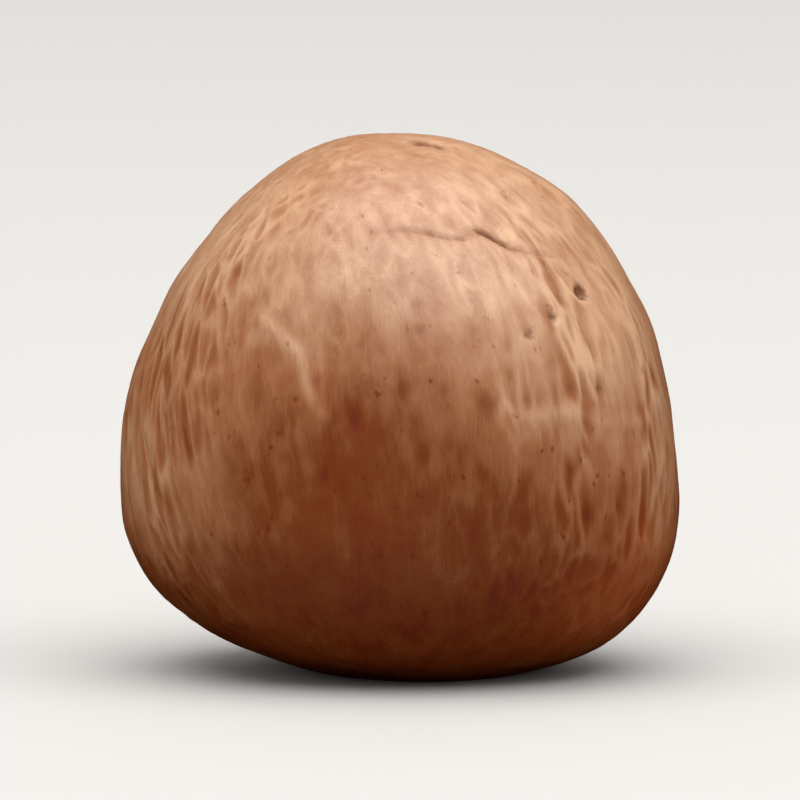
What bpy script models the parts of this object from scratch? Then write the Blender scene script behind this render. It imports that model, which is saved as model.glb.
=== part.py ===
"""A whole dried betel nut, the seed of the areca palm, standing upright on its flattened base.

The seed is one hard piece. Its body is a bell: a dome that draws in to a blunt tip above, and a
fuller, flatter bowl below, cut off where the seed sat in its husk. Its skin is drawn up into long
meshes, each a little sunken between raised veins. They are deepest on its right flank and at its
back, and its front is almost smooth. A short crack crosses one shoulder, with three pits below it,
a few deeper dimples lie round them, and a shallow mark sits beside its tip. Under its base is the
hollow scar where it was attached. The front of the seed faces -Y, and the pits are towards +X.
"""

import math

import bmesh
import bpy
import numpy as np
from mathutils import Vector, noise

MM = 0.001

# Driving dimensions of the bell, before it swells and flattens here and there
WIDTH = 30.6 * MM
DEPTH = 29.0 * MM
HEIGHT = 29.0 * MM
WIDEST_AT = 10.85 * MM  # height of the widest level above the base
BASE_CUT = 0.52 * MM  # how much of the bowl the flat base cuts off

# The powers of the two superellipses that meet at the widest level; 2 is an ellipse
DOME_POWER = 2.03
BOWL_POWER = 2.45

# Swellings and flats: azimuth from the front towards +X, elevation, spread, and amount
SWELLINGS = (
    (80, 54, 17, 0.85 * MM),  # full right shoulder
    (85, 18, 24, -0.72 * MM),  # flatter right flank
    (-85, 53, 26, -1.30 * MM),  # straight left flank
    (75, -48, 24, 0.35 * MM),  # full lower right
    (-85, -52, 24, -0.60 * MM),  # drawn-in lower left
    (170, 30, 34, 0.35 * MM),  # rounded back
    (15, 5, 30, 0.20 * MM),  # rounded front
)
TIP_LEAN = 1.50 * MM  # the tip stands this far to the left of the middle
LEAN_FROM = 0.60  # of the height, where the body starts to lean
LUMP = 0.22 * MM
LUMPS_ACROSS = 1.5  # lumps in one radius of the body

SAG = 0.09 * MM  # shallow sags of the dried skin
SAG_WIDTH = 3.4 * MM

# Meshes of the skin: each is sunken in its middle, and the veins between them stand
MESH_WIDTH = 1.5 * MM
MESH_STRETCH = 3.2  # a mesh is this many times as long as it is wide
MESH_DEPTH = 0.14 * MM
GATHER = 1.7  # how strongly the meshes narrow as they run together towards the tip and the base
WAVER = 0.4  # of a mesh, that its outline strays
STRAYS_ACROSS = 1.1  # strays in one mesh
VEIN_SHARE = (0.05, 0.55)  # of a mesh, where its hollow starts and where it is deepest
PLAIN_ACROSS = 0.4  # patches of skin without a net, in one mesh
PLAIN_AT, FULL_AT = -0.6, 0.3  # of that noise, where the net is gone and where it is whole

# Azimuth from the front towards +X, elevation, spread, and amount
SLANTED = ((-65, 5, 50, 0.5),)  # the meshes of the left flank lean, by this much of their rise
FAINT = 0.25  # of the full depth, all round
DEEPER = (
    (58, 2, 38, 0.90),  # right flank
    (-50, 42, 28, 0.30),  # left shoulder
    (-72, 0, 32, 0.45),  # left flank
    (-8, -15, 34, -0.20),  # smooth front
    (180, 0, 60, 0.60),  # back
)

# Marks: azimuth from the front towards +X, elevation, and depth; the crack gapes at one place
CRACK_ROUTE = (
    (-4, 48.5, 0.03 * MM),
    (10, 48.5, 0.08 * MM),
    (23, 47, 0.12 * MM),
    (29, 48, 0.34 * MM),
    (35, 45.5, 0.34 * MM),
    (38, 43.5, 0.16 * MM),
    (52, 41, 0.04 * MM),
)
CRACK_WIDTH = 0.24 * MM
PITS = (
    (52, 34, 0.42 * MM, 0.45 * MM),  # the third is the radius
    (39, 30, 0.35 * MM, 0.20 * MM),
    (30, 27, 0.38 * MM, 0.18 * MM),
    (56, 76, 0.90 * MM, 0.24 * MM),  # beside the tip
)
DIMPLES = ((24, 21), (46, 16), (38, 16), (27, 15), (40, -4), (50, -21), (-45, 40), (-76, 15))
DIMPLE_RADIUS = 0.45 * MM
DIMPLE_DEPTH = 0.12 * MM

# Base
SCAR_RADIUS = 4.0 * MM
SCAR_DEPTH = 0.9 * MM
SCAR_RIM = 0.9 * MM  # width of the slope round the scar
SCAR_RAGGED = 0.20  # of its radius
RAGS_ACROSS = 5  # bays of the scar's edge in one radius of the body
PLAIN_NEAR_BASE = 2.4 * MM  # the skin's relief fades out over this height

# Skin, as linear red, green, blue and alpha
SKIN_BROWN = (0.30, 0.125, 0.055, 1)
SKIN_ROUGHNESS = 0.45

GRID = 120  # squares along each edge of the cube that is blown up into the body
TRIANGLES = 11200
PATTERN_STEP = 3.7  # the patterns of noise lie this far apart in it
NEARLY_NOTHING = 1e-9  # keeps the two poles from a division by zero


def blown_up_cube():
    """A cube of small squares, as a mesh, and the direction of each of its points from its middle."""
    grid = bmesh.new()
    bmesh.ops.create_cube(grid, size=2)
    bmesh.ops.subdivide_edges(grid, edges=grid.edges, cuts=GRID - 1, use_grid_fill=True)
    mesh = bpy.data.meshes.new("betel_nut")
    grid.to_mesh(mesh)
    grid.free()
    places = np.empty(len(mesh.vertices) * 3)
    mesh.vertices.foreach_get("co", places)
    # The tangent gives the squares nearly one size once they are on a ball
    places = np.tan(places.reshape(-1, 3) * math.pi / 4)
    return mesh, places / np.linalg.norm(places, axis=1)[:, None]


def facing(azimuth, elevation):
    """The unit vector at an azimuth from the front towards +X and an elevation, in degrees."""
    turn, rise = math.radians(azimuth), math.radians(elevation)
    level = math.cos(rise)
    return np.array([math.sin(turn) * level, -math.cos(turn) * level, math.sin(rise)])


def soft_step(low, high, value):
    share = np.clip((value - low) / (high - low), 0, 1)
    return share * share * (3 - 2 * share)


def soft_spot(distance, radius):
    """1 in the middle of a spot, falling off like a bell curve."""
    return np.exp(-((distance / radius) ** 2))


def noise_of(places, scale, pattern):
    """Smooth noise from -1 to 1 at each place; pattern is 1, 2, 3 and so on."""
    shift = PATTERN_STEP * pattern * Vector((1, -1, 0.5))
    return np.array([noise.noise(Vector(place * scale) + shift) for place in places])


def patches(directions, spots):
    """The sum of soft patches, each an azimuth, elevation, spread in degrees, and amount."""
    total = np.zeros(len(directions))
    for azimuth, elevation, spread, amount in spots:
        apart = np.arccos(np.clip(directions @ facing(azimuth, elevation), -1, 1))
        total += amount * soft_spot(apart, math.radians(spread))
    return total


def bell(directions):
    """Points of the bare bell: the dome and the bowl meet smoothly at the widest level."""
    up = directions[:, 2]
    out = np.maximum(np.hypot(directions[:, 0], directions[:, 1]), NEARLY_NOTHING)
    dome = up >= 0
    power = 2 / np.where(dome, DOME_POWER, BOWL_POWER)
    reach = np.where(dome, HEIGHT - WIDEST_AT, WIDEST_AT + BASE_CUT)
    level = out**power / out
    return np.stack(
        [
            WIDTH / 2 * level * directions[:, 0],
            DEPTH / 2 * level * directions[:, 1],
            WIDEST_AT + np.sign(up) * reach * np.abs(up) ** power,
        ],
        axis=1,
    )


def body(directions):
    """Points of the body: the bell with its swellings, its lumps and its leaning tip."""
    places = bell(directions)
    swell = patches(directions, SWELLINGS)
    swell += LUMP * noise_of(directions, LUMPS_ACROSS, 1)
    swell += LUMP / 2 * noise_of(directions, 2 * LUMPS_ACROSS, 2)
    places += directions * swell[:, None]
    places[:, 0] -= TIP_LEAN * soft_step(LEAN_FROM, 1, places[:, 2] / HEIGHT)
    return places


def outward(mesh, places):
    """The direction in which the body faces at each of its points."""
    mesh.vertices.foreach_set("co", places.astype(np.float32).ravel())
    normals = np.empty(places.size, np.float32)
    mesh.vertex_normals.foreach_get("vector", normals)
    return normals.reshape(-1, 3).astype(float)


def laid_out(directions):
    """The skin laid out so that each of its meshes takes up about one unit, whatever its shape."""
    out = np.hypot(directions[:, 0], directions[:, 1])
    rise = np.arcsin(np.clip(directions[:, 2], -1, 1))
    turn = np.arctan2(directions[:, 0], -directions[:, 1]) + rise * patches(directions, SLANTED)
    gathered = np.tanh(GATHER * out) / math.tanh(GATHER)
    around = [np.sin(turn) * gathered, -np.cos(turn) * gathered, rise / MESH_STRETCH]
    laid = np.stack(around, axis=1) * WIDTH / 2 / MESH_WIDTH
    strays = [noise_of(laid, STRAYS_ACROSS, pattern) for pattern in (3, 4, 5)]
    return laid + WAVER * np.stack(strays, axis=1)


def skin_relief(places, directions):
    """How far each point stands out, by the sags of the skin and the net of its meshes."""
    laid = laid_out(directions)
    nearest = np.array([noise.voronoi(Vector(place))[0][:2] for place in laid])
    hollow = soft_step(*VEIN_SHARE, nearest[:, 1] - nearest[:, 0])
    hollow *= soft_step(PLAIN_AT, FULL_AT, noise_of(laid, PLAIN_ACROSS, 6))
    sag = SAG * noise_of(places, 1 / SAG_WIDTH, 7)
    return sag - MESH_DEPTH * hollow * (FAINT + patches(directions, DEEPER))


def marks(places):
    """How deep the crack, the pits and the dimples are at each point."""
    route = body(np.array([facing(azimuth, elevation) for azimuth, elevation, _ in CRACK_ROUTE]))
    depths = np.zeros(len(places))
    for stop in range(len(route) - 1):
        run = route[stop + 1] - route[stop]
        share = np.clip((places - route[stop]) @ run / (run @ run), 0, 1)
        away = np.linalg.norm(places - route[stop] - share[:, None] * run, axis=1)
        depth = CRACK_ROUTE[stop][2] + share * (CRACK_ROUTE[stop + 1][2] - CRACK_ROUTE[stop][2])
        depths = np.maximum(depths, depth * soft_spot(away, CRACK_WIDTH))
    for azimuth, elevation, radius, depth in PITS:
        middle = body(facing(azimuth, elevation)[None])
        depths += depth * soft_spot(np.linalg.norm(places - middle, axis=1), radius)
    for azimuth, elevation in DIMPLES:
        middle = body(facing(azimuth, elevation)[None])
        away = np.linalg.norm(places - middle, axis=1)
        depths += DIMPLE_DEPTH * soft_spot(away, DIMPLE_RADIUS)
    return depths


def seat(places, directions):
    """Cuts the base flat and sinks the scar into the middle of it."""
    below = directions[:, 2] < 0
    from_middle = np.hypot(places[:, 0], places[:, 1])
    from_middle *= 1 + SCAR_RAGGED * noise_of(directions, RAGS_ACROSS, 8)
    sunk = 1 - soft_step(SCAR_RADIUS - SCAR_RIM, SCAR_RADIUS, from_middle)
    places[:, 2] = np.maximum(places[:, 2], 0) + SCAR_DEPTH * sunk * below
    return places


def nut_finish():
    material = bpy.data.materials.new("nut_skin")
    material.use_nodes = True
    skin = material.node_tree.nodes["Principled BSDF"]
    skin.inputs["Base Color"].default_value = SKIN_BROWN
    skin.inputs["Roughness"].default_value = SKIN_ROUGHNESS
    skin.inputs["Metallic"].default_value = 0
    return material


def betel_nut():
    mesh, directions = blown_up_cube()
    places = body(directions)
    normals = outward(mesh, places)
    relief = skin_relief(places, directions) - marks(places)
    relief *= soft_step(0, PLAIN_NEAR_BASE, places[:, 2])
    places = seat(places + normals * relief[:, None], directions)
    middle = (places.max(axis=0) + places.min(axis=0)) / 2
    places[:, :2] -= middle[:2]
    mesh.vertices.foreach_set("co", places.astype(np.float32).ravel())
    mesh.shade_smooth()
    mesh.materials.append(nut_finish())
    nut = bpy.data.objects.new("betel_nut", mesh)
    bpy.context.scene.collection.objects.link(nut)
    fewer = nut.modifiers.new("fewer_faces", "DECIMATE")
    cube_triangles = 6 * 2 * GRID**2
    fewer.ratio = TRIANGLES / cube_triangles


for old in list(bpy.data.objects):
    bpy.data.objects.remove(old)
betel_nut()
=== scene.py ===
import math

import bmesh
import bpy
import numpy as np
from mathutils import Matrix, Vector, noise


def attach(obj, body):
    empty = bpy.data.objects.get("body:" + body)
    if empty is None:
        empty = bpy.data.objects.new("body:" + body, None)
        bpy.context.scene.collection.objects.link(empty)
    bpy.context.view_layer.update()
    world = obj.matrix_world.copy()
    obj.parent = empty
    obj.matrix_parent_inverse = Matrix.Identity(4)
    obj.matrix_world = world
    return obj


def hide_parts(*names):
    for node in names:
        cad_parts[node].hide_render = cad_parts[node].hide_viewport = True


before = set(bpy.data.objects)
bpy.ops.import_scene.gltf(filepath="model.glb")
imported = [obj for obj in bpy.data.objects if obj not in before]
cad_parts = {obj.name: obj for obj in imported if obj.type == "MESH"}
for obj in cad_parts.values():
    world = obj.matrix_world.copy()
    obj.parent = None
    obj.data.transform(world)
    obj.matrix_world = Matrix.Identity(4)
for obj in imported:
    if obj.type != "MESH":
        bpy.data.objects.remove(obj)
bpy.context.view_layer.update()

# The looks of a whole dried betel nut, and a plain studio round it. The nut is one piece, so its
# body, its skin, the marks on it, its base, its colour and its finish follow each other.

# ---------------------------------------------------------------------------------------------
# The body of the nut. It is one hard dried seed: a bell-shaped dome with a blunt tip, leaning a
# little, over a fuller bowl that is cut off flat where it grew in the husk. It is shaped as a
# cube of small squares blown up into a ball, and then drawn out into the bell.

MM = 0.001
WIDTH = 30.6 * MM
DEPTH = 29.0 * MM
HEIGHT = 29.0 * MM
WIDEST_AT = 10.85 * MM
BASE_CUT = 0.52 * MM
DOME_POWER = 2.03
BOWL_POWER = 2.45
SQUARES = 128  # along each edge of the cube
CUBE_TURN = math.radians(45)  # keeps its corners, where squares are skewed, off both shoulders

# Azimuth from the front towards the right, elevation and spread in degrees, and height
SWELLINGS = (
    (80, 54, 17, 0.85 * MM),  # full right shoulder
    (85, 18, 24, -0.72 * MM),  # flatter right flank
    (-85, 53, 26, -1.30 * MM),  # straight left flank
    (75, -48, 24, 0.35 * MM),  # full lower right
    (-85, -52, 24, -0.60 * MM),  # drawn-in lower left
    (170, 30, 34, 0.35 * MM),  # rounded back
    (15, 5, 30, 0.20 * MM),  # rounded front
)
TIP_LEAN = 1.50 * MM
LEAN_FROM = 0.60  # of the height
LUMP = 0.22 * MM
LUMPS_ACROSS = 1.5
PATTERN_STEP = 3.7  # the patterns of noise lie this far apart in it
NEARLY_NOTHING = 1e-9  # keeps the two poles from a division by zero


def facing(azimuth, elevation):
    """The unit vector at an azimuth from the front towards the right, and an elevation."""
    turn, rise = math.radians(azimuth), math.radians(elevation)
    level = math.cos(rise)
    return np.array([math.sin(turn) * level, -math.cos(turn) * level, math.sin(rise)])


def soft_step(low, high, value):
    share = np.clip((value - low) / (high - low), 0, 1)
    return share * share * (3 - 2 * share)


def soft_spot(distance, radius):
    """1 in the middle of a spot, falling off like a bell curve."""
    return np.exp(-((distance / radius) ** 2))


def noise_of(points, scale, pattern):
    """Smooth noise from -1 to 1 at each point; pattern is 1, 2, 3 and so on."""
    shift = PATTERN_STEP * pattern * Vector((1, -1, 0.5))
    return np.array([noise.noise(Vector(point * scale) + shift) for point in points])


def patches(directions, spots):
    """The sum of soft patches, each an azimuth, elevation, spread in degrees, and amount."""
    total = np.zeros(len(directions))
    for azimuth, elevation, spread, amount in spots:
        apart = np.arccos(np.clip(directions @ facing(azimuth, elevation), -1, 1))
        total += amount * soft_spot(apart, math.radians(spread))
    return total


def bell(directions):
    """Points of the bare bell: two superellipses that meet at the widest level."""
    up = directions[:, 2]
    out = np.maximum(np.hypot(directions[:, 0], directions[:, 1]), NEARLY_NOTHING)
    dome = up >= 0
    power = 2 / np.where(dome, DOME_POWER, BOWL_POWER)
    reach = np.where(dome, HEIGHT - WIDEST_AT, WIDEST_AT + BASE_CUT)
    level = out**power / out
    sideways = WIDTH / 2 * level * directions[:, 0]
    frontways = DEPTH / 2 * level * directions[:, 1]
    return np.stack([sideways, frontways, WIDEST_AT + np.sign(up) * reach * np.abs(up) ** power], 1)


def body(directions):
    """The bell with its swellings, its lumps and its leaning tip."""
    points = bell(directions)
    swell = patches(directions, SWELLINGS)
    swell += LUMP * noise_of(directions, LUMPS_ACROSS, 1)
    swell += LUMP / 2 * noise_of(directions, 2 * LUMPS_ACROSS, 2)
    points += directions * swell[:, None]
    points[:, 0] -= TIP_LEAN * soft_step(LEAN_FROM, 1, points[:, 2] / HEIGHT)
    return points


squares = bmesh.new()
bmesh.ops.create_cube(squares, size=2)
bmesh.ops.subdivide_edges(squares, edges=squares.edges, cuts=SQUARES - 1, use_grid_fill=True)
nut_mesh = bpy.data.meshes.new("whole_nut")
squares.to_mesh(nut_mesh)
squares.free()
corners = np.empty(len(nut_mesh.vertices) * 3)
nut_mesh.vertices.foreach_get("co", corners)
# The tangent gives the squares nearly one size once they are on a ball
corners = np.tan(corners.reshape(-1, 3) * math.pi / 4)
directions = corners / np.linalg.norm(corners, axis=1)[:, None]
directions = directions @ np.array(Matrix.Rotation(CUBE_TURN, 3, "Z"))
points = body(directions)

nut_mesh.vertices.foreach_set("co", points.astype(np.float32).ravel())
outwards = np.empty(points.size, np.float32)
nut_mesh.vertex_normals.foreach_get("vector", outwards)
outwards = outwards.reshape(-1, 3).astype(float)

# ---------------------------------------------------------------------------------------------
# The skin. It is drawn up into long meshes, each a little sunken in its middle, with raised veins
# between them that run together towards the tip and the base. They are faint in front, and
# deepest on the flanks and at the back.

MESH_WIDTH = 0.95 * MM
MESH_STRETCH = 3.2  # a mesh is this many times as long as it is wide
MESH_DEPTH = 0.095 * MM
GATHER = 1.7  # how strongly the meshes narrow as they run together
WAVER = 0.40  # of a mesh, that its outline strays
STRAYS_ACROSS = 1.1  # strays in one mesh
VEIN_SHARE = (0.02, 0.58)  # of a mesh, where its hollow starts and where it is deepest
VEIN_CREST = 0.20  # of a mesh
PLAIN_ACROSS = 0.4  # patches of skin without a net, in one mesh
PLAIN_SPAN = (-0.6, 0.3)  # of that noise, where the net is gone and where it is whole
# Azimuth, elevation, spread, and how far the meshes lean for their rise
SLANTED = ((-65, 5, 52, 0.5),)
FAINT = 0.25  # of the full depth, all round
# Azimuth, elevation, spread, and how much more or less of the full depth
DEEPER = (
    (58, 2, 34, 0.66),  # right flank
    (48, 25, 20, 0.66),  # right shoulder
    (-50, 42, 28, 0.40),  # left shoulder
    (-72, 0, 32, 0.38),  # left flank
    (-8, -15, 34, -0.20),  # smooth front
    (180, 0, 60, 0.60),  # back
)
STREAK_HEIGHT = 0.03 * MM
STREAKS_ACROSS = 1.1  # long streaks in one mesh
FINE_STREAKS_ACROSS = 2.3
FINE_STREAK_SHARE = 0.6  # of the height of the long streaks
STREAK_STRETCH = (1, 1, 0.5)
SAG_WIDTH = 3.4 * MM
SAG_HEIGHT = 0.09 * MM

out = np.hypot(directions[:, 0], directions[:, 1])
rise = np.arcsin(np.clip(directions[:, 2], -1, 1))
turned = np.arctan2(directions[:, 0], -directions[:, 1]) + rise * patches(directions, SLANTED)
gathered = np.tanh(GATHER * out) / math.tanh(GATHER)
drawn = np.stack([np.sin(turned) * gathered, -np.cos(turned) * gathered, rise / MESH_STRETCH], 1)
drawn *= WIDTH / 2 / MESH_WIDTH
drawn += WAVER * np.stack([noise_of(drawn, STRAYS_ACROSS, pattern) for pattern in (3, 4, 5)], 1)

net_depth = FAINT + patches(directions, DEEPER)
nearest = np.array([noise.voronoi(Vector(place))[0][:2] for place in drawn])
inside = nearest[:, 1] - nearest[:, 0]
whole = soft_step(*PLAIN_SPAN, noise_of(drawn, PLAIN_ACROSS, 6))
hollow = soft_step(*VEIN_SHARE, inside) * whole * net_depth
vein = soft_spot(inside, VEIN_CREST) * whole * net_depth
streak = noise_of(drawn * STREAK_STRETCH, STREAKS_ACROSS, 9)
streak += FINE_STREAK_SHARE * noise_of(drawn * STREAK_STRETCH, FINE_STREAKS_ACROSS, 10)
relief = STREAK_HEIGHT * streak - MESH_DEPTH * hollow
relief += SAG_HEIGHT * noise_of(points, 1 / SAG_WIDTH, 11)

# ---------------------------------------------------------------------------------------------
# The marks of drying: a crack across the right shoulder that gapes at one place, a row of pits
# below it, dimples round the middle, a sunken spot beside the tip, and a few long veins and
# grooves that stand out from the net.

# Azimuth, elevation and depth
CRACK = (
    (-4, 48, 0.03 * MM),
    (10, 48.5, 0.08 * MM),
    (17, 47, 0.09 * MM),
    (23.5, 46.5, 0.09 * MM),
    (28.5, 48.5, 0.12 * MM),
    (30, 48, 0.20 * MM),
    (34.5, 45.5, 0.20 * MM),
    (37, 44, 0.12 * MM),
    (44, 42, 0.10 * MM),
    (51.5, 41, 0.05 * MM),
)
CRACK_WIDTH = 0.15 * MM
CRACK_SIDES = 0.32 * MM  # width of the brown beside it
STRAY = 0.10 * MM  # of the crack and the long lines, from a straight run
STRAY_WIDTH = 0.9 * MM
# Azimuth, elevation, radius and depth
PITS = (
    (51, 34, 0.42 * MM, 0.42 * MM),  # the deepest, below the end of the crack
    (38, 30, 0.32 * MM, 0.18 * MM),
    (30, 27, 0.36 * MM, 0.15 * MM),
    (46, 16.5, 0.32 * MM, 0.12 * MM),  # on the right shoulder
    (48, 78, 0.65 * MM, 0.18 * MM),  # beside the tip, in two that run together
    (55, 74, 0.48 * MM, 0.14 * MM),
)
# Painted shade: the crack and the pits are darker the deeper they are
DARK_FROM_DEPTH = 0.16 * MM  # a mark this deep is dark all through
# Azimuth and elevation
DIMPLES = (
    (24, 25), (23.5, 20), (16, 16), (34, 22), (46, 16.5), (37, 16), (27, 15.5), (18, 14.5),
    (8.5, 17.5), (59, 12), (36.5, 3.5), (26, 3), (40, -4), (48.5, -3), (49, -19), (53, -13.5),
    (40, -25), (59, -6.5), (4.5, 6.5), (4.5, 32.5), (4.5, 28), (-9, 25.5), (0, 17.5),
    (-65.5, 46), (-45.5, 39.5), (-37, 33), (-18.5, 19), (-9.5, 13), (-15.5, 3.5), (-75.5, 15),
)
DIMPLE_RADIUS = 0.32 * MM
DIMPLE_DEPTH = 0.05 * MM
DIMPLE_SIZES = (1.0, 0.7, 1.25, 0.85, 1.1)  # of that radius and depth, in turn
DIMPLE_LENGTH = 1.9  # of its width
# Azimuth, elevation and strength of each stop
LONG_VEINS = (
    ((-35, 31, 0.1), (-28, 27.5, 0.8), (-23, 23.5, 1.0), (-21, 18.5, 0.9), (-16.5, 13, 0.4)),
    ((19, 14, 0.1), (26.5, 13, 0.4), (35.5, 13, 0.4), (45.5, 11, 0.4), (60.5, 10, 0.2)),
)
LONG_VEIN_WIDTH = 0.36 * MM
LONG_VEIN_HEIGHT = 0.09 * MM
GROOVES = (
    ((-56, 15, 0.2), (-51, 8.5, 1.0), (-46, 3, 0.2)),
    ((-68, 6, 0.2), (-61, 0, 1.0), (-53, -6.5, 0.2)),
)
GROOVE_WIDTH = 0.30 * MM
GROOVE_DEPTH = 0.08 * MM

strays = [noise_of(points, 1 / STRAY_WIDTH, pattern) for pattern in (14, 15, 16)]
strayed = points + STRAY * np.stack(strays, 1)


def along(line, width):
    """The last number of each stop of a line on the nut, carried along it and fading beside it."""
    stops = body(np.array([facing(azimuth, elevation) for azimuth, elevation, _ in line]))
    strongest = np.zeros(len(points))
    for number in range(len(stops) - 1):
        run = stops[number + 1] - stops[number]
        share = np.clip((strayed - stops[number]) @ run / (run @ run), 0, 1)
        away = np.linalg.norm(strayed - stops[number] - share[:, None] * run, axis=1)
        strength = line[number][2] + share * (line[number + 1][2] - line[number][2])
        strongest = np.maximum(strongest, strength * soft_spot(away, width))
    return strongest


def away_from(azimuth, elevation, tall=1):
    """How far each point is from a place on the body, with heights made this many times smaller."""
    apart = (points - body(facing(azimuth, elevation)[None])) / (1, 1, tall)
    return np.linalg.norm(apart, axis=1)


crack_sides = along(CRACK, CRACK_SIDES) / DARK_FROM_DEPTH
marks = along(CRACK, CRACK_WIDTH)
for azimuth, elevation, radius, depth in PITS:
    marks += depth * soft_spot(away_from(azimuth, elevation), radius)
dimples = np.zeros(len(points))
for number, (azimuth, elevation) in enumerate(DIMPLES):
    size = DIMPLE_SIZES[number % len(DIMPLE_SIZES)]
    away = away_from(azimuth, elevation, DIMPLE_LENGTH)
    dimples += size * soft_spot(away, size * DIMPLE_RADIUS)
long_vein = sum(along(line, LONG_VEIN_WIDTH) for line in LONG_VEINS)
groove = sum(along(line, GROOVE_WIDTH) for line in GROOVES)
relief += LONG_VEIN_HEIGHT * long_vein - GROOVE_DEPTH * groove
relief -= DIMPLE_DEPTH * dimples + marks

# ---------------------------------------------------------------------------------------------
# The base. The nut stands on a flat ring, inside which lies the pale corky scar where it was
# attached to its husk, sunken and with a ragged edge.

SCAR_RADIUS = 4.0 * MM
SCAR_DEPTH = 0.9 * MM
SCAR_RIM = 0.9 * MM  # width of the slope round the scar
SCAR_RAGGED = 0.20  # of its radius
SCAR_LUMP = 0.18 * MM
SCAR_LUMP_WIDTH = 0.8 * MM
RAGS_ACROSS = 5  # bays of the scar's edge in one radius of the body
PLAIN_NEAR_BASE = 2.4 * MM  # the relief fades out over this height

relief *= soft_step(0, PLAIN_NEAR_BASE, points[:, 2])
points += outwards * relief[:, None]
from_middle = np.hypot(points[:, 0], points[:, 1])
from_middle *= 1 + SCAR_RAGGED * noise_of(directions, RAGS_ACROSS, 8)
scar = 1 - soft_step(SCAR_RADIUS - SCAR_RIM, SCAR_RADIUS, from_middle)
scar *= directions[:, 2] < 0
lumps = SCAR_LUMP * noise_of(points, 1 / SCAR_LUMP_WIDTH, 17)
points[:, 2] = np.maximum(points[:, 2], 0) + scar * (SCAR_DEPTH + lumps)
points[:, :2] -= ((points.max(axis=0) + points.min(axis=0)) / 2)[:2]
nut_mesh.vertices.foreach_set("co", points.astype(np.float32).ravel())
nut_mesh.shade_smooth()

# ---------------------------------------------------------------------------------------------
# The colour of the skin: tan on the dome and a deep reddish brown on the bowl, partly its own
# colour and partly painted shade on the lower half; paler on the right shoulder, the flanks and
# the back, the flanks partly with painted side light. Veins are rubbed pale, and hollows hold the
# dark.

# How dark: 0 is the palest tan and 1 the darkest brown
# Darker down the bowl and more underneath: partly the nut's own tone, partly painted shade below
DOME_DARK = 0.26
DOME_ABOVE = math.radians(41)
BOWL_DARK = 0.85
BOWL_BELOW = math.radians(8)
PAINTED_UNDER_SHADE = 0.05  # more, from the first of these elevations down to the second
UNDER_FROM = math.radians(-10)
UNDER_ALL = math.radians(-30)
# Azimuth, elevation, spread, and how much darker or paler
# Partly the skin's own tones and partly painted light and shade: painted side light on the flanks,
# painted sheen round the crack and the tip, and painted shade in front of the tip
SHADES = (
    (47, 19, 19, -0.52),  # right shoulder
    (24, 18, 12, -0.30),  # its edge towards the front
    (6, 8, 8, -0.09),  # below that edge
    (34, -3, 9, -0.11),  # below the right shoulder
    (38, 30, 11, 0.17),  # above the right shoulder
    (66, -6, 16, -0.34),  # right flank, paler partly with painted side light
    (78, 14, 16, -0.34),  # its edge towards the back, paler partly with painted side light
    (60, -32, 18, -0.10),  # below the right flank
    (-62, 2, 24, -0.43),  # left flank, paler partly with painted side light
    (-38, 8, 11, -0.10),  # its edge towards the front
    (-88, 8, 16, -0.25),  # its edge towards the back, paler partly with painted side light
    (-55, 32, 12, 0.14),  # above the left flank
    (-150, 10, 40, -0.26),  # back
    (125, 28, 26, -0.15),  # right shoulder at the back
    (0, 66, 14, 0.06),  # painted shade in front of the tip, against the sheen there
    (60, 62, 13, -0.16),  # right of the tip, paler partly with painted sheen
    (-52, 54, 22, -0.08),  # left of the tip
    (36, 52, 8, -0.08),  # above the crack, paler partly with painted sheen
    (25, 39, 9, -0.09),  # below the crack, paler partly with painted sheen
    (54, 40, 10, 0.11),  # beyond the crack
    (2, 27, 10, -0.07),  # middle of the dome
    (-24, 31, 8, -0.09),  # above the long vein on the left
    (-26, 11, 8, -0.08),  # below that vein
    (-20, 21, 11, -0.12),  # left of the front
    (20, 13, 8, -0.07),  # right of the front
    (-16, -10, 12, 0.06),  # left of the middle of the bowl
)
# Azimuth, elevation, spread, and how rusty
RUST_SPOTS = ((60, -27, 20, 0.55), (-120, -25, 26, 0.35))
CLOUD_DARK = 0.08
CLOUDS_ACROSS = 3  # clouds in one radius of the body
STREAK_DARK = 0.13
FAINTLY_STREAKY = 0.35  # of that, all round
# Azimuth, elevation, spread, and how much more of it
STREAKY = (
    (0, 62, 40, 0.40),  # dome
    (36, 38, 20, 0.90),  # below the crack
    (72, 6, 34, 0.40),  # right flank
    (-72, 4, 34, 0.50),  # left flank
    (180, 0, 60, 0.45),  # back
)
HOLLOW_DARK = 0.24
DIMPLE_DARK = 0.20
CRACK_DARK = 0.24  # beside a crack that is dark all through
GROOVE_DARK = 0.25
VEIN_PALE = 0.18
LONG_VEIN_PALE = 0.30

# Painted shade, partly the nut's own tone: darker from the dome down the bowl, more underneath
darkness = BOWL_DARK + (DOME_DARK - BOWL_DARK) * soft_step(BOWL_BELOW, DOME_ABOVE, rise)
darkness += PAINTED_UNDER_SHADE * (1 - soft_step(UNDER_ALL, UNDER_FROM, rise))
darkness += patches(directions, SHADES) + CLOUD_DARK * noise_of(directions, CLOUDS_ACROSS, 12)
darkness += STREAK_DARK * streak * (FAINTLY_STREAKY + patches(directions, STREAKY))
darkness += HOLLOW_DARK * hollow + DIMPLE_DARK * dimples + GROOVE_DARK * groove
darkness += CRACK_DARK * crack_sides
darkness -= VEIN_PALE * vein + LONG_VEIN_PALE * long_vein

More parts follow.
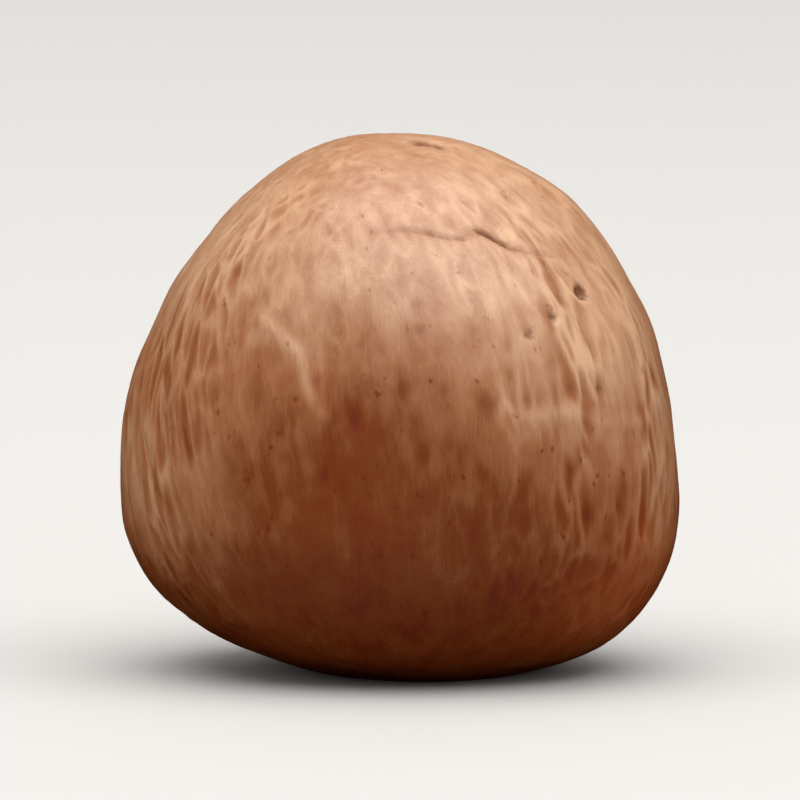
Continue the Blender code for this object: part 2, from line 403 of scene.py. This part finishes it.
for name, values in (
    ("darkness", darkness),
    ("rust", patches(directions, RUST_SPOTS)),
    ("dark_mark", np.clip(marks / DARK_FROM_DEPTH, 0, 1)),
    ("scar", scar),
):
    attribute = nut_mesh.attributes.new(name, "FLOAT", "POINT")
    attribute.data.foreach_set("value", values.astype(np.float32))
along_fibres = nut_mesh.attributes.new("along_fibres", "FLOAT_VECTOR", "POINT")
along_fibres.data.foreach_set("vector", drawn.astype(np.float32).ravel())

# ---------------------------------------------------------------------------------------------
# The finish of the skin: dry, hard and satin. One ramp of browns takes it from tan to dark, with
# fine fibres along the meshes, soft mottles and a few specks. The marks are dark and rough, the
# dark partly their own brown and partly painted shade in the crack and the pits, and the scar is
# bare pale cork.

BROWNS = (
    (0.00, (0.470, 0.272, 0.160)),
    (0.26, (0.338, 0.168, 0.088)),
    (0.50, (0.246, 0.090, 0.034)),
    (0.80, (0.140, 0.030, 0.003)),
    (0.90, (0.135, 0.022, 0.001)),
    (1.00, (0.112, 0.013, 0.001)),
)
RUST = (0.280, 0.047, 0.004)
# Dark brown of the crack and the pits, partly painted shade inside them
MARK_DARK = (0.135, 0.042, 0.005)
SCAR_CORK = (0.350, 0.225, 0.128)
PORE_DARK = (0.130, 0.062, 0.026)
# How many lie in a metre, or in a mesh for the fibres, their stretch, and their detail
FIBRES = (8, (1, 1, 0.35), 4)
MOTTLES = (760, (1, 1, 0.8), 3)
SPECKS = (1900, (1, 1, 0.7), 1)
RAGS = (3000, (1, 1, 1), 3)  # the ragged edges of the marks
PORES = (1300, (1, 1, 1), 5)  # in the cork of the scar
GRAIN = (4200, (1, 1, 0.5), 4)
MOST_OF_NOISE = (0.3, 0.7)  # nearly every value of a noise lies between these
SPECK_EDGE = (0.70, 0.78)  # of the specks' noise, where one starts and where it is full
MARK_EDGE = (0.25, 0.95)  # of a mark or the scar, where its colour starts and where it is full
PORED = 0.85  # how much of a pore's dark shows
FIBRE_DARK = 0.05
MOTTLE_DARK = 0.075
SPECK_DARK = 0.22
RAG_DARK = 0.22
ROUGHNESS = 0.31
FIBRE_ROUGHNESS = 0.08  # more, from fibre to fibre
DUST_ROUGHNESS = 0.40  # more, in the marks and on the scar
GLOSS = 0.38
GRAIN_STRENGTH = 0.35
GRAIN_HEIGHT = 0.05 * MM

skin = bpy.data.materials.new("nut_skin")
skin.use_nodes = True
nodes, links = skin.node_tree.nodes, skin.node_tree.links
principled = nodes["Principled BSDF"]


def attribute_value(name, output="Fac"):
    node = nodes.new("ShaderNodeAttribute")
    node.attribute_name = name
    return node.outputs[output]


def object_place():
    return nodes.new("ShaderNodeTexCoord").outputs["Object"]


def noise_value(place, scale, stretch, detail):
    mapping = nodes.new("ShaderNodeMapping")
    mapping.inputs["Scale"].default_value = stretch
    links.new(place, mapping.inputs["Vector"])
    node = nodes.new("ShaderNodeTexNoise")
    node.inputs["Scale"].default_value = scale
    node.inputs["Detail"].default_value = detail
    links.new(mapping.outputs["Vector"], node.inputs["Vector"])
    return node.outputs["Fac"]


def ranged(value, low, high, to_low, to_high):
    """The value, from low to high, stretched to the second range and kept inside it."""
    node = nodes.new("ShaderNodeMapRange")
    ends = {"From Min": low, "From Max": high, "To Min": to_low, "To Max": to_high}
    for name, number in ends.items():
        node.inputs[name].default_value = number
    links.new(value, node.inputs["Value"])
    return node.outputs["Result"]


def sum_of(first, *others):
    for other in others:
        node = nodes.new("ShaderNodeMath")
        links.new(first, node.inputs[0])
        links.new(other, node.inputs[1])
        first = node.outputs["Value"]
    return first


def mixed(share, under, over):
    node = nodes.new("ShaderNodeMix")
    node.data_type = "RGBA"
    links.new(share, node.inputs["Factor"])
    links.new(under, node.inputs["A"])
    node.inputs["B"].default_value = (*over, 1)
    return node.outputs["Result"]


fibres = noise_value(attribute_value("along_fibres", "Vector"), *FIBRES)
mottles = noise_value(object_place(), *MOTTLES)
specks = noise_value(object_place(), *SPECKS)
how_dark = sum_of(
    attribute_value("darkness"),
    ranged(fibres, *MOST_OF_NOISE, -FIBRE_DARK, FIBRE_DARK),
    ranged(mottles, *MOST_OF_NOISE, -MOTTLE_DARK, MOTTLE_DARK),
    ranged(specks, *SPECK_EDGE, 0, SPECK_DARK),
)
browns = nodes.new("ShaderNodeValToRGB")
stops = browns.color_ramp.elements
while len(stops) < len(BROWNS):
    stops.new(1)
for stop, (place, brown) in zip(stops, BROWNS):
    stop.position = place
    stop.color = (*brown, 1)
links.new(how_dark, browns.inputs["Fac"])
colour = mixed(attribute_value("rust"), browns.outputs["Color"], RUST)
rags = ranged(noise_value(object_place(), *RAGS), *MOST_OF_NOISE, -RAG_DARK, RAG_DARK)
ragged_mark = ranged(sum_of(attribute_value("dark_mark"), rags), *MARK_EDGE, 0, 1)
ragged_scar = ranged(sum_of(attribute_value("scar"), rags), *MARK_EDGE, 0, 1)
pores = ranged(noise_value(object_place(), *PORES), *MOST_OF_NOISE, -1, 0)
pored = ranged(sum_of(attribute_value("scar"), pores), 0, 1, 0, PORED)
colour = mixed(ragged_mark, colour, MARK_DARK)
colour = mixed(ragged_scar, colour, SCAR_CORK)
colour = mixed(pored, colour, PORE_DARK)
links.new(colour, principled.inputs["Base Color"])

roughness = sum_of(
    ranged(fibres, *MOST_OF_NOISE, ROUGHNESS, ROUGHNESS + FIBRE_ROUGHNESS),
    ranged(attribute_value("dark_mark"), 0, 1, 0, DUST_ROUGHNESS),
    ranged(attribute_value("scar"), 0, 1, 0, DUST_ROUGHNESS),
)
links.new(roughness, principled.inputs["Roughness"])
principled.inputs["Specular IOR Level"].default_value = GLOSS
uneven = nodes.new("ShaderNodeBump")
uneven.inputs["Strength"].default_value = GRAIN_STRENGTH
uneven.inputs["Distance"].default_value = GRAIN_HEIGHT
links.new(sum_of(fibres, noise_value(object_place(), *GRAIN)), uneven.inputs["Height"])
links.new(uneven.outputs["Normal"], principled.inputs["Normal"])

nut_mesh.materials.append(skin)
scene = bpy.context.scene
whole_nut = bpy.data.objects.new("whole_nut", nut_mesh)
scene.collection.objects.link(whole_nut)
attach(whole_nut, "root")
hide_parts("betel_nut")

# ---------------------------------------------------------------------------------------------
# The studio: a plain pale floor, and soft lights overhead, in front, at both sides and behind.
# The skin mirrors only the sheen light, which lights nothing else. A faint warm surround fills
# the shadows.

FLOOR_SIZE = 6.0
FLOOR_PALE = (0.41, 0.40, 0.385, 1)
FLOOR_ROUGHNESS = 0.9
# Azimuth, elevation, distance and width in metres, power in watts, and whether it is mirrored
SOFT_LIGHTS = {
    "overhead_softbox": (4, 76, 0.9, 1.55, 19.3, False),
    "front_softbox": (0, 20, 1.2, 1.6, 4.8, False),
    "right_softbox": (85, 18, 1.0, 1.6, 7.3, False),
    "left_softbox": (-90, 18, 1.0, 1.6, 7.3, False),
    "back_softbox": (180, 40, 1.2, 1.6, 9.0, False),
    "sheen_softbox": (42, 77, 0.9, 1.25, 15, True),
}
SURROUND_WARM = (1, 0.94, 0.88, 1)
SURROUND_STRENGTH = 0.18

ground = bmesh.new()
bmesh.ops.create_grid(ground, x_segments=1, y_segments=1, size=FLOOR_SIZE / 2)
floor_mesh = bpy.data.meshes.new("floor")
ground.to_mesh(floor_mesh)
ground.free()
floor = bpy.data.objects.new("floor", floor_mesh)
scene.collection.objects.link(floor)
pale = bpy.data.materials.new("floor_pale")
pale.use_nodes = True
pale.node_tree.nodes["Principled BSDF"].inputs["Base Color"].default_value = FLOOR_PALE
pale.node_tree.nodes["Principled BSDF"].inputs["Roughness"].default_value = FLOOR_ROUGHNESS
floor_mesh.materials.append(pale)
floor.visible_glossy = False

nut_middle = Vector((0, 0, HEIGHT / 2))
for name, (azimuth, elevation, distance, width, power, mirrored) in SOFT_LIGHTS.items():
    light = bpy.data.lights.new(name, "AREA")
    light.shape = "DISK"
    light.size = width
    light.energy = power
    lamp = bpy.data.objects.new(name, light)
    lamp.location = nut_middle + distance * Vector(facing(azimuth, elevation))
    lamp.rotation_euler = (nut_middle - lamp.location).to_track_quat("-Z", "Y").to_euler()
    lamp.visible_glossy = mirrored
    lamp.visible_diffuse = not mirrored
    scene.collection.objects.link(lamp)

surround = bpy.data.worlds.new("surround")
surround.use_nodes = True
surround.node_tree.nodes["Background"].inputs["Color"].default_value = SURROUND_WARM
surround.node_tree.nodes["Background"].inputs["Strength"].default_value = SURROUND_STRENGTH
surround.cycles_visibility.glossy = False
scene.world = surround
scene.view_settings.view_transform = "Standard"

# ---------------------------------------------------------------------------------------------
# The camera looks at the front of the nut from a little above. It stands well back with a long
# lens, so that the nut shows almost without perspective.

CAMERA_ELEVATION = 6  # degrees
CAMERA_DISTANCE = 0.8
FRAMED = 43.0 * MM  # how much of the scene's width the picture takes in
NEAREST_SEEN = 10 * MM

lens = bpy.data.cameras.new("camera")
lens.lens = lens.sensor_width * CAMERA_DISTANCE / FRAMED
lens.clip_start = NEAREST_SEEN
camera = bpy.data.objects.new("camera", lens)
camera.location = nut_middle + CAMERA_DISTANCE * Vector(facing(0, CAMERA_ELEVATION))
camera.rotation_euler = (nut_middle - camera.location).to_track_quat("-Z", "Y").to_euler()
scene.collection.objects.link(camera)
scene.camera = camera
